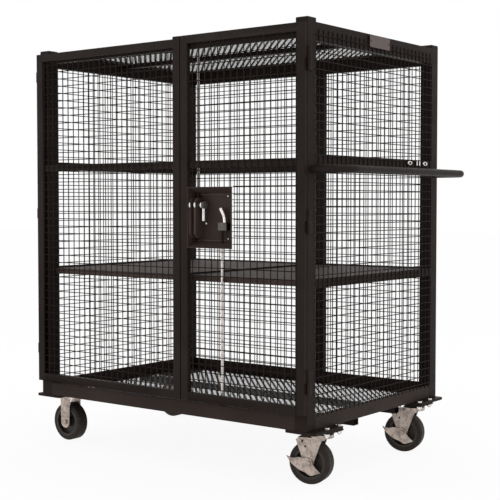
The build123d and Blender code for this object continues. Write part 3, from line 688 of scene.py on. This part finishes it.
class CART_OT_pedals(bpy.types.Operator):
    """Slim stamped brake pedals in place of the plain leaf pedals, and the brake shoes"""

    bl_idname = "cart.pedals"
    bl_label = "Brake Pedals"

    def execute(self, context):
        size = sizes()
        x = POSTS_HIGH.x - size.caster_in_x
        for caster, y in (("front_right", POSTS_LOW.y + size.caster_in_y),
                          ("rear_right", POSTS_HIGH.y - size.caster_in_y)):
            put = Matrix.Translation((x, y, AXLE_Z)) @ Matrix.Rotation(SWIVEL_HEADING, 4, "Z")
            self.pedal(caster, put)
            self.shoe(caster, put)
        return {"FINISHED"}

    def shoe(self, caster, put):
        """A dark block between the fork's legs, clear of the tread."""
        size = sizes()
        bm = bmesh.new()
        bmesh.ops.create_cube(bm, size=1.0)
        bmesh.ops.scale(bm, vec=(size.shoe_long, size.shoe_wide, size.shoe_thick), verts=bm.verts[:])
        bmesh.ops.bevel(bm, geom=bm.edges[:], offset=size.shoe_edge, affect="EDGES", segments=2, profile=0.5,
                        material=-1)
        bmesh.ops.translate(bm, vec=(0.0, 0.0, size.shoe_up), verts=bm.verts[:])
        bmesh.ops.rotate(bm, matrix=Matrix.Rotation(size.shoe_turn, 3, "Y"), verts=bm.verts[:])
        bmesh.ops.translate(bm, vec=(size.trail, 0.0, 0.0), verts=bm.verts[:])
        bmesh.ops.transform(bm, matrix=put, verts=bm.verts[:])
        piece_from(bm, caster + "_brake_shoe", caster + "_swivel", "cast_alloy")

    def pedal(self, caster, put):
        """A plate with rounded corners and a bore, its heel folded towards the wheel."""
        size = sizes()
        bm = bmesh.new()
        rim = [bm.verts.new((ahead * MM, 0.0, up * MM)) for ahead, up in PEDAL_OUTLINE]
        bm.faces.new(rim)
        bmesh.ops.bevel(bm, geom=rim, offset=size.pedal_corner, affect="VERTICES", segments=4, profile=0.5,
                        material=-1)
        bmesh.ops.delete(bm, geom=bm.faces[:], context="FACES_ONLY")
        upright = Matrix.Rotation(math.pi / 2, 4, "X")
        bmesh.ops.create_circle(bm, segments=28, radius=size.pedal_bore, matrix=upright)
        bmesh.ops.triangle_fill(bm, use_beauty=True, edges=bm.edges[:])
        crease = Vector((-size.pedal_fold, 0.0, 0.0))
        bmesh.ops.bisect_plane(bm, geom=whole(bm), plane_co=crease, plane_no=(1, 0, 0))
        heel = [vert for vert in bm.verts if vert.co.x < crease.x - SAME_POINT]
        bmesh.ops.rotate(bm, cent=crease, matrix=Matrix.Rotation(size.heel_turn, 3, "Z"), verts=heel)
        bmesh.ops.recalc_face_normals(bm, faces=bm.faces[:])
        bmesh.ops.solidify(bm, geom=bm.faces[:], thickness=size.pedal_gauge)
        bmesh.ops.recalc_face_normals(bm, faces=bm.faces[:])
        inner = min(vert.co.y for vert in bm.verts if vert.co.x > 0.0)
        bmesh.ops.translate(bm, vec=(size.trail, size.pedal_out - inner, 0.0), verts=bm.verts[:])
        bmesh.ops.transform(bm, matrix=put, verts=bm.verts[:])
        plate = piece_from(bm, caster + "_stamped_pedal", caster + "_pedal", "zinc")
        round_edges(plate, size.pedal_edge)
        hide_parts(caster + "_brake")


class CART_OT_lock_screws(bpy.types.Operator):
    """Screws, guide bosses, folds and knob ring of the lock pan"""

    bl_idname = "cart.lock_screws"
    bl_label = "Lock Pan Trim"

    def execute(self, context):
        size = sizes()
        bm = bmesh.new()
        r = size.screw
        dome = [(0.0, 0.0), (r, 0.0), (r, 0.25 * r), (0.86 * r, 0.5 * r), (0.55 * r, 0.68 * r),
                (0.42 * r, 0.70 * r), (0.38 * r, 0.45 * r), (0.0, 0.45 * r)]
        for z in (PAN_LOW.z + size.screw_in_z, PAN_HIGH.z - size.screw_in_z):
            turned(bm, dome, (PAN_HIGH.x - size.screw_in_x, PAN_BACK, z), (0, -1, 0), 20)
        stud = [(1.5 * radius, 1.6 * height) for radius, height in dome]
        spot = (PAN_LOW.x + size.stud_in_x, PAN_BACK, PAN_LOW.z + size.stud_in_z)
        turned(bm, stud, spot, (0, -1, 0), 24)
        piece_from(bm, "pan_screws", "right_door", "bright_steel")
        self.bosses()
        self.folds()
        self.knob_ring()
        return {"FINISHED"}

    def bosses(self):
        """Oval bosses at the bolt's height on the noses of the two guides."""
        size = sizes()
        r = size.boss
        bm = bmesh.new()
        dome = [(0.0, -0.2 * r), (r, -0.2 * r), (r, 0.1 * r), (0.8 * r, 0.45 * r), (0.45 * r, 0.62 * r),
                (0.0, 0.68 * r)]
        for x in (GUIDES_LOW.x + size.boss_in, GUIDES_HIGH.x - size.boss_in):
            turned(bm, dome, (x, GUIDES_LOW.y, KNOB_Z), (0, -1, 0), 24)
        oval = 2.1
        for vert in bm.verts:
            vert.co.z = KNOB_Z + (vert.co.z - KNOB_Z) * oval
        round_skin(piece_from(bm, "guide_bosses", "right_door", "bright_steel"))

    def folds(self):
        """Bend radii along the upper and lower folds of the pan's back, in a pale coat that is a painted
        highlight along each fold.
        """
        size = sizes()
        r = size.fold
        bm = bmesh.new()
        span = PAN_HIGH.x - PAN_LOW.x - size.fold_short
        rod = [(0.0, 0.0), (r, 0.0), (r, span), (0.0, span)]
        for z in (PAN_LOW.z + size.fold_in, PAN_HIGH.z - size.fold_in):
            turned(bm, rod, (PAN_LOW.x + PAN_WALL, PAN_BACK, z), (1, 0, 0), 16)
        round_skin(piece_from(bm, "pan_folds", "right_door", "door_coat", "fold_coat_painted_highlight"))

    def knob_ring(self):
        """A bright rim round the knob's end nearest the guides."""
        r = sizes().knob
        wide = sizes().knob_wide
        bm = bmesh.new()
        rim = [(0.70 * r, 0.0), (0.94 * r, 0.0), (r, 0.16 * wide), (r, 0.84 * wide), (0.94 * r, wide),
               (0.70 * r, wide), (0.70 * r, 0.0)]
        turned(bm, rim, (KNOB_X, (BOLT_LOW.y + BOLT_HIGH.y) / 2, KNOB_Z), (1, 0, 0), 32)
        round_skin(piece_from(bm, "knob_ring", "slide_bolt", "bright_steel"))


class CART_OT_shelf_seam(bpy.types.Operator):
    """The folded lip along the seam between the two shelf sheets"""

    bl_idname = "cart.shelf_seam"
    bl_label = "Shelf Seam"

    def execute(self, context):
        size = sizes()
        tall = size.seam
        gauge = size.seam_gauge
        low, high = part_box("shelf_left")
        bm = bmesh.new()
        bmesh.ops.create_cube(bm, size=1.0)
        bmesh.ops.scale(bm, vec=(gauge, high.y - low.y, tall), verts=bm.verts[:])
        crown = [edge for edge in bm.edges if all(vert.co.z > 0.0 for vert in edge.verts)]
        bmesh.ops.bevel(bm, geom=crown, offset=size.seam_edge, affect="EDGES", segments=3, profile=0.5,
                        material=-1)
        spot = (high.x - gauge / 2, (low.y + high.y) / 2, high.z + tall / 2)
        bmesh.ops.translate(bm, vec=spot, verts=bm.verts[:])
        piece_from(bm, "shelf_seam_lip", "frame", "frame_coat")
        return {"FINISHED"}


class CART_OT_mesh_clamps(bpy.types.Operator):
    """Oval washers, their bolts and two clips that hold the end mesh to its mid rail"""

    bl_idname = "cart.mesh_clamps"
    bl_label = "Mesh Clamps"

    def execute(self, context):
        size = sizes()
        r = size.clamp
        gauge = size.clamp_gauge
        face = END_MESH_HIGH.x
        z = (MID_RAILS_LOW.z + MID_RAILS_HIGH.z) / 2 + size.clamp_rise
        oval = 2.4
        plated_bm = bmesh.new()
        dark_bm = bmesh.new()
        disc = [(0.0, 0.0), (r, 0.0), (r, 0.7 * gauge), (0.9 * r, gauge), (0.0, gauge)]
        dome = [(0.0, 0.0), (0.62 * r, 0.0), (0.58 * r, 2.0 * MM), (0.36 * r, 3.4 * MM), (0.0, 3.8 * MM)]
        for back in CLAMP_PLACES:
            y = POSTS_HIGH.y - back
            before = set(plated_bm.verts)
            turned(plated_bm, disc, (face, y, z), (1, 0, 0), 28)
            for vert in plated_bm.verts:
                if vert not in before:
                    vert.co.y = y + (vert.co.y - y) * oval
            turned(dark_bm, dome, (face + gauge, y, z), (1, 0, 0), 20)
        for back in CLIP_PLACES:
            made = bmesh.ops.create_cube(plated_bm, size=1.0)
            bmesh.ops.scale(plated_bm, vec=(size.clip_gauge, size.clip_wide, 2.2 * r), verts=made["verts"])
            spot = (face + size.clip_gauge / 2, POSTS_HIGH.y - back, z)
            bmesh.ops.translate(plated_bm, vec=spot, verts=made["verts"])
        round_skin(piece_from(plated_bm, "clamp_washers", "frame", "bright_steel"))
        round_skin(piece_from(dark_bm, "clamp_bolts", "frame", "frame_coat"))
        return {"FINISHED"}


class CART_OT_bare_plate(bpy.types.Operator):
    """A bare enamelled plate with two rivets on the right end's top rail"""

    bl_idname = "cart.bare_plate"
    bl_label = "Bare Plate"

    def execute(self, context):
        size = sizes()
        gauge = size.label_gauge
        middle = Vector((END_MESH_HIGH.x + gauge / 2, size.label_side, TOP_RAILS_HIGH.z - size.label_drop))
        bm = bmesh.new()
        bmesh.ops.create_cube(bm, size=1.0)
        bmesh.ops.scale(bm, vec=(gauge, size.label_long, size.label_tall), verts=bm.verts[:])
        corners = [edge for edge in bm.edges if abs(edge.verts[0].co.x - edge.verts[1].co.x) > gauge / 2]
        bmesh.ops.bevel(bm, geom=corners, offset=size.label_corner, affect="EDGES", segments=4, profile=0.5,
                        material=-1)
        rim = [edge for edge in bm.edges if all(vert.co.x > 0.0 for vert in edge.verts)]
        bmesh.ops.bevel(bm, geom=rim, offset=size.label_edge, affect="EDGES", segments=2, profile=0.5,
                        material=-1)
        bmesh.ops.translate(bm, vec=middle, verts=bm.verts[:])
        piece_from(bm, "bare_plate", "frame", "frame_coat", "bare_plate")
        rivets = bmesh.new()
        dome = [(0.0, 0.0), (3.0 * MM, 0.0), (2.6 * MM, 1.0 * MM), (1.4 * MM, 1.7 * MM), (0.0, 1.9 * MM)]
        for side in (-0.5, 0.5):
            spot = middle + Vector((gauge / 2, side * (size.label_long - 2 * size.rivet_in), 0.0))
            turned(rivets, dome, spot, (1, 0, 0), 16)
        piece_from(rivets, "plate_rivets", "frame", "frame_coat")
        return {"FINISHED"}


class CART_OT_stage(bpy.types.Operator):
    """Pale floor, white room, soft lamps and the camera"""

    bl_idname = "cart.stage"
    bl_label = "Stage"

    def execute(self, context):
        look = context.scene.cart_stage
        self.floor(look)
        self.room(look)
        self.lamp("key_light", look.key_power, spot=(-3.6, -3.4, 1.9), aim=(-0.2, 0.0, 0.7), wide=3.0)
        self.lamp("fill_light", look.fill_power, spot=(4.2, -0.6, 2.0), aim=(0.4, 0.0, 0.7), wide=2.6)
        self.lamp("top_light", look.top_power, spot=(0.4, 0.6, 4.4), aim=(0.0, 0.0, 0.8), wide=3.0)
        view = bpy.data.cameras.new("photo_camera")
        view.lens = look.lens
        view.sensor_width = 36.0
        camera = bpy.data.objects.new("photo_camera", view)
        context.scene.collection.objects.link(camera)
        camera.location = look.camera_at
        camera.rotation_euler = (math.pi / 2 + look.camera_pitch, 0.0, look.camera_heading)
        context.scene.camera = camera
        context.scene.view_settings.view_transform = "Standard"
        return {"FINISHED"}

    def floor(self, look):
        bm = bmesh.new()
        bmesh.ops.create_grid(bm, x_segments=4, y_segments=4, size=FLOOR_REACH)
        mesh = bpy.data.meshes.new("floor")
        bm.to_mesh(mesh)
        bm.free()
        floor = bpy.data.objects.new("floor", mesh)
        bpy.context.scene.collection.objects.link(floor)
        material = bpy.data.materials.new("pale_floor")
        material.use_nodes = True
        tree = material.node_tree
        tree.nodes.clear()
        out = tree.nodes.new("ShaderNodeOutputMaterial")
        matt = tree.nodes.new("ShaderNodeBsdfDiffuse")
        matt.inputs["Color"].default_value = (*look.floor_colour, 1.0)
        white = tree.nodes.new("ShaderNodeEmission")
        both = tree.nodes.new("ShaderNodeMixShader")
        seen = self.seen(tree)
        share = tree.nodes.new("ShaderNodeMath")
        share.operation = "MULTIPLY"
        share.inputs[1].default_value = 1.0 - look.floor_shadow
        tree.links.new(seen, share.inputs[0])
        tree.links.new(share.outputs["Value"], both.inputs["Fac"])
        tree.links.new(matt.outputs["BSDF"], both.inputs[1])
        tree.links.new(white.outputs["Emission"], both.inputs[2])
        tree.links.new(both.outputs["Shader"], out.inputs["Surface"])
        mesh.materials.append(material)

    def room(self, look):
        world = bpy.data.worlds.new("white_room")
        bpy.context.scene.world = world
        world.use_nodes = True
        tree = world.node_tree
        tree.nodes.clear()
        out = tree.nodes.new("ShaderNodeOutputWorld")
        light = tree.nodes.new("ShaderNodeBackground")
        light.inputs["Color"].default_value = (1.0, 1.0, 1.0, 1.0)
        strength = tree.nodes.new("ShaderNodeMapRange")
        strength.inputs["To Min"].default_value = look.sky
        strength.inputs["To Max"].default_value = 1.0
        tree.links.new(self.seen(tree), strength.inputs["Value"])
        tree.links.new(strength.outputs["Result"], light.inputs["Strength"])
        tree.links.new(light.outputs["Background"], out.inputs["Surface"])

    def seen(self, tree):
        """1 for a ray that shows the background: straight, mirrored or through glass."""
        path = tree.nodes.new("ShaderNodeLightPath")
        last = path.outputs["Is Camera Ray"]
        for name in ("Is Glossy Ray", "Is Transmission Ray"):
            most = tree.nodes.new("ShaderNodeMath")
            most.operation = "MAXIMUM"
            tree.links.new(last, most.inputs[0])
            tree.links.new(path.outputs[name], most.inputs[1])
            last = most.outputs["Value"]
        return last

    def lamp(self, name, watts, spot, aim, wide):
        """A square area lamp at spot that faces aim."""
        light = bpy.data.lights.new(name, "AREA")
        light.shape = "SQUARE"
        light.size = wide
        light.energy = watts
        lamp = bpy.data.objects.new(name, light)
        bpy.context.scene.collection.objects.link(lamp)
        lamp.location = spot
        lamp.rotation_euler = (Vector(aim) - Vector(spot)).to_track_quat("-Z", "Y").to_euler()


OPERATORS = (CART_OT_coats, CART_OT_decks, CART_OT_shelf_seam, CART_OT_caster_bolts, CART_OT_pedals,
             CART_OT_lock_screws, CART_OT_mesh_clamps, CART_OT_bare_plate, CART_OT_stage)


class CART_PT_panel(bpy.types.Panel):
    """The cart's pieces, sizes and colours"""

    bl_idname = "CART_PT_panel"
    bl_label = "Wire Cage Storage Cart"
    bl_space_type = "VIEW_3D"
    bl_region_type = "UI"
    bl_category = "Cart"

    def draw(self, context):
        layout = self.layout
        for operator in OPERATORS:
            layout.operator(operator.bl_idname)
        for group in (context.scene.cart_colours, context.scene.cart_sizes, context.scene.cart_stage):
            for key in group.__annotations__:
                layout.prop(group, key)


CLASSES = (CartColours, CartSizes, CartStage, *OPERATORS, CART_PT_panel)


def register():
    for item in CLASSES:
        bpy.utils.register_class(item)
    bpy.types.Scene.cart_colours = PointerProperty(type=CartColours)
    bpy.types.Scene.cart_sizes = PointerProperty(type=CartSizes)
    bpy.types.Scene.cart_stage = PointerProperty(type=CartStage)


def unregister():
    del bpy.types.Scene.cart_colours
    del bpy.types.Scene.cart_sizes
    del bpy.types.Scene.cart_stage
    for item in reversed(CLASSES):
        bpy.utils.unregister_class(item)


def main():
    register()
    bpy.ops.cart.coats()
    bpy.ops.cart.decks()
    bpy.ops.cart.shelf_seam()
    bpy.ops.cart.caster_bolts()
    bpy.ops.cart.pedals()
    bpy.ops.cart.lock_screws()
    bpy.ops.cart.mesh_clamps()
    bpy.ops.cart.bare_plate()
    bpy.ops.cart.stage()


if __name__ == "__main__":
    main()
